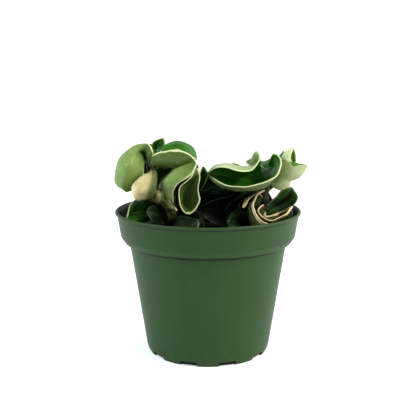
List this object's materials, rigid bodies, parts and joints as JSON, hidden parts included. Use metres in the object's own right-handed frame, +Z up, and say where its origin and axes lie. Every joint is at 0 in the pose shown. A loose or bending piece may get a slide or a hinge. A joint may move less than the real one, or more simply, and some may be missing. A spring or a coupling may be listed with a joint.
{
  "type": "potted climbing plant",
  "caption": "Variegated rope plant with thick curled waxy leaves on looping stems, rooted in potting mix in a round tapered nursery pot.",
  "frame": {"origin": "middle of the pot's flat underside", "axes": "+Z up, -Y towards the viewer of the picture, +X to the viewer's right"},
  "size_m": [0.1552, 0.1524, 0.1756],
  "materials": {
    "pot_plastic": "matt moulded",
    "potting_mix": "rough",
    "stem_bark": "rough",
    "leaf_green": "waxy",
    "leaf_dark": "glossy",
    "leaf_olive": "satin",
    "leaf_cream": "waxy",
    "leaf_edge_brown": "satin",
    "leaf_tan": "dry"
  },
  "bodies": {
    "root": {"pot": "pot_plastic", "stem_left": "stem_bark", "stem_right": "stem_bark", "stem_middle": "stem_bark", "soil": "potting_mix", "leaf_left_dome": "leaf_green", "leaf_left_hood": "leaf_green", "leaf_left_spoon": "leaf_green", "leaf_left_back_fin": "leaf_green", "leaf_left_crown": "leaf_green", "leaf_left_small": "leaf_green", "leaf_left_cream": "leaf_cream", "leaf_left_low": "leaf_green", "leaf_left_folded": "leaf_dark", "leaf_left_belly": "leaf_olive", "leaf_left_tan": "leaf_tan", "leaf_left_bud": "leaf_cream", "leaf_left_front_low": "leaf_dark", "leaf_right_long": "leaf_green", "leaf_right_shade": "leaf_dark", "leaf_right_star": "leaf_edge_brown", "leaf_right_wing": "leaf_green", "leaf_right_scroll": "leaf_tan", "leaf_right_bowl": "leaf_tan", "leaf_right_dry": "leaf_cream", "leaf_right_low": "leaf_dark", "leaf_left_back_b": "leaf_dark", "leaf_left_back_f": "leaf_dark", "leaf_middle_back": "leaf_dark", "leaf_middle_front": "leaf_dark", "leaf_middle_right": "leaf_dark", "leaf_middle_left": "leaf_dark", "leaf_middle_top": "leaf_green", "leaf_middle_far": "leaf_green", "leaf_left_back_a": "leaf_green", "leaf_left_back_c": "leaf_green", "leaf_left_back_d": "leaf_green", "leaf_left_back_e": "leaf_dark", "leaf_right_back_a": "leaf_green", "leaf_right_back_b": "leaf_dark", "leaf_right_back_c": "leaf_green", "leaf_right_back_d": "leaf_dark", "leaf_right_back_e": "leaf_dark", "leaf_right_back_f": "leaf_green"}
  },
  "joints": []
}
